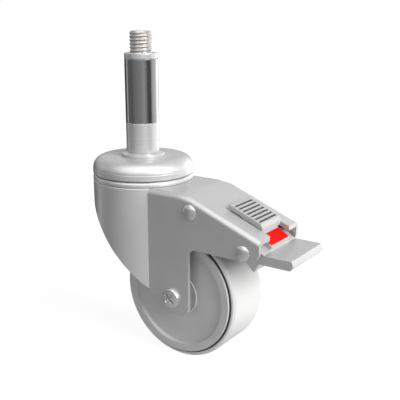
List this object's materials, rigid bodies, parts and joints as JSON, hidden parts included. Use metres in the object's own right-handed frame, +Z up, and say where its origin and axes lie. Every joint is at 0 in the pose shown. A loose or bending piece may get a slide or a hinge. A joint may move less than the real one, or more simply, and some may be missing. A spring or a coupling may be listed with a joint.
{
  "type": "expanding stem castor",
  "caption": "Swivel castor with a solid-tread wheel, a total-lock brake pedal and an expanding stem that grips inside a round tube.",
  "frame": {"origin": "on the stem's axis, where the tube's end comes to rest on the seat washer", "axes": "+Z up the stem into the tube, +X from the stem towards the pedal with the fork at rest, +Y along the wheel's axle"},
  "size_m": [0.1376, 0.0587, 0.1815],
  "materials": {
    "stud_steel": "zinc-plated, satin, with a cut thread at its end",
    "stem_steel": "turned and zinc-plated, satin",
    "sleeve_rubber": "dark moulded rubber, satin",
    "pressed_steel": "pressed sheet, zinc-plated, satin",
    "bearing_steel": "ground and hardened, bright",
    "lock_steel": "stamped steel, dull",
    "core_plastic": "grey moulded nylon, matt",
    "tread_rubber": "pale grey non-marking rubber, satin",
    "fastener_steel": "bright zinc plating",
    "rivet_steel": "cold-formed, satin",
    "nylon": "natural nylon",
    "shoe_rubber": "hard black rubber",
    "spring_steel": "drawn wire",
    "pedal_metal": "die-cast and plated, satin",
    "pad_plastic": "grey moulded plastic with cross grooves",
    "indicator_red": "glossy red inlay"
  },
  "bodies": {
    "stem": {"expander_sleeve": "sleeve_rubber", "spacer_tube": "stem_steel", "seat_washer": "stem_steel", "top_cup": "pressed_steel", "upper_race": "bearing_steel", "hold_race": "bearing_steel", "lock_ring": "lock_steel", "kingpin": "stem_steel"},
    "stud": {"threaded_stud": "stud_steel"},
    "nut": {"expander_nut": "stem_steel"},
    "swivel": {"fork": "pressed_steel", "lower_cup": "pressed_steel", "lower_race": "bearing_steel", "load_balls": "bearing_steel", "crown_race": "bearing_steel", "hold_balls": "bearing_steel", "inner_rings": "bearing_steel", "hub_spacer": "stem_steel", "side_bushes": "stem_steel", "axle_bolt": "fastener_steel", "axle_nut": "fastener_steel", "lever_pin": "rivet_steel", "pedal_pin": "rivet_steel", "pin_spacers": "nylon", "return_spring": "spring_steel"},
    "wheel": {"wheel_core": "core_plastic", "tread": "tread_rubber", "outer_rings": "bearing_steel", "wheel_balls": "bearing_steel", "dust_caps": "core_plastic"},
    "lever": {"brake_lever": "lock_steel", "brake_shoe": "shoe_rubber"},
    "rocker": {"pedal": "pedal_metal", "release_pad": "pad_plastic", "indicator": "indicator_red"}
  },
  "joints": [
    {"name": "stud_turn", "type": "hinge", "parent": "stem", "child": "stud", "pos_m": [0, 0, 0], "axis": [0, 0, 1], "range_deg": [0, 540]},
    {"name": "nut_slide", "type": "slide", "parent": "stem", "child": "nut", "axis": [0, 0, 1], "range_m": [-0.00295, 0], "deforming": ["expander_sleeve"]},
    {"name": "swivel_turn", "type": "hinge", "parent": "stem", "child": "swivel", "pos_m": [0, 0, 0], "axis": [0, 0, 1], "continuous": true},
    {"name": "wheel_spin", "type": "hinge", "parent": "swivel", "child": "wheel", "pos_m": [0.0359, 0, -0.0761], "axis": [0, 1, 0], "continuous": true},
    {"name": "pedal_rock", "type": "hinge", "parent": "swivel", "child": "rocker", "pos_m": [0.0815, 0, -0.0408], "axis": [0, 1, 0], "range_deg": [0, 18]},
    {"name": "lever_swing", "type": "hinge", "parent": "swivel", "child": "lever", "pos_m": [0.0486, 0, -0.0245], "axis": [0, 1, 0], "range_deg": [0, 4.5], "deforming": ["return_spring"]}
  ],
  "couplings": [
    {"joint": "nut_slide", "follows": "stud_turn", "m_per_rad": -0.00031096},
    {"joint": "lever_swing", "follows": "pedal_rock", "ratio": 0.25}
  ]
}
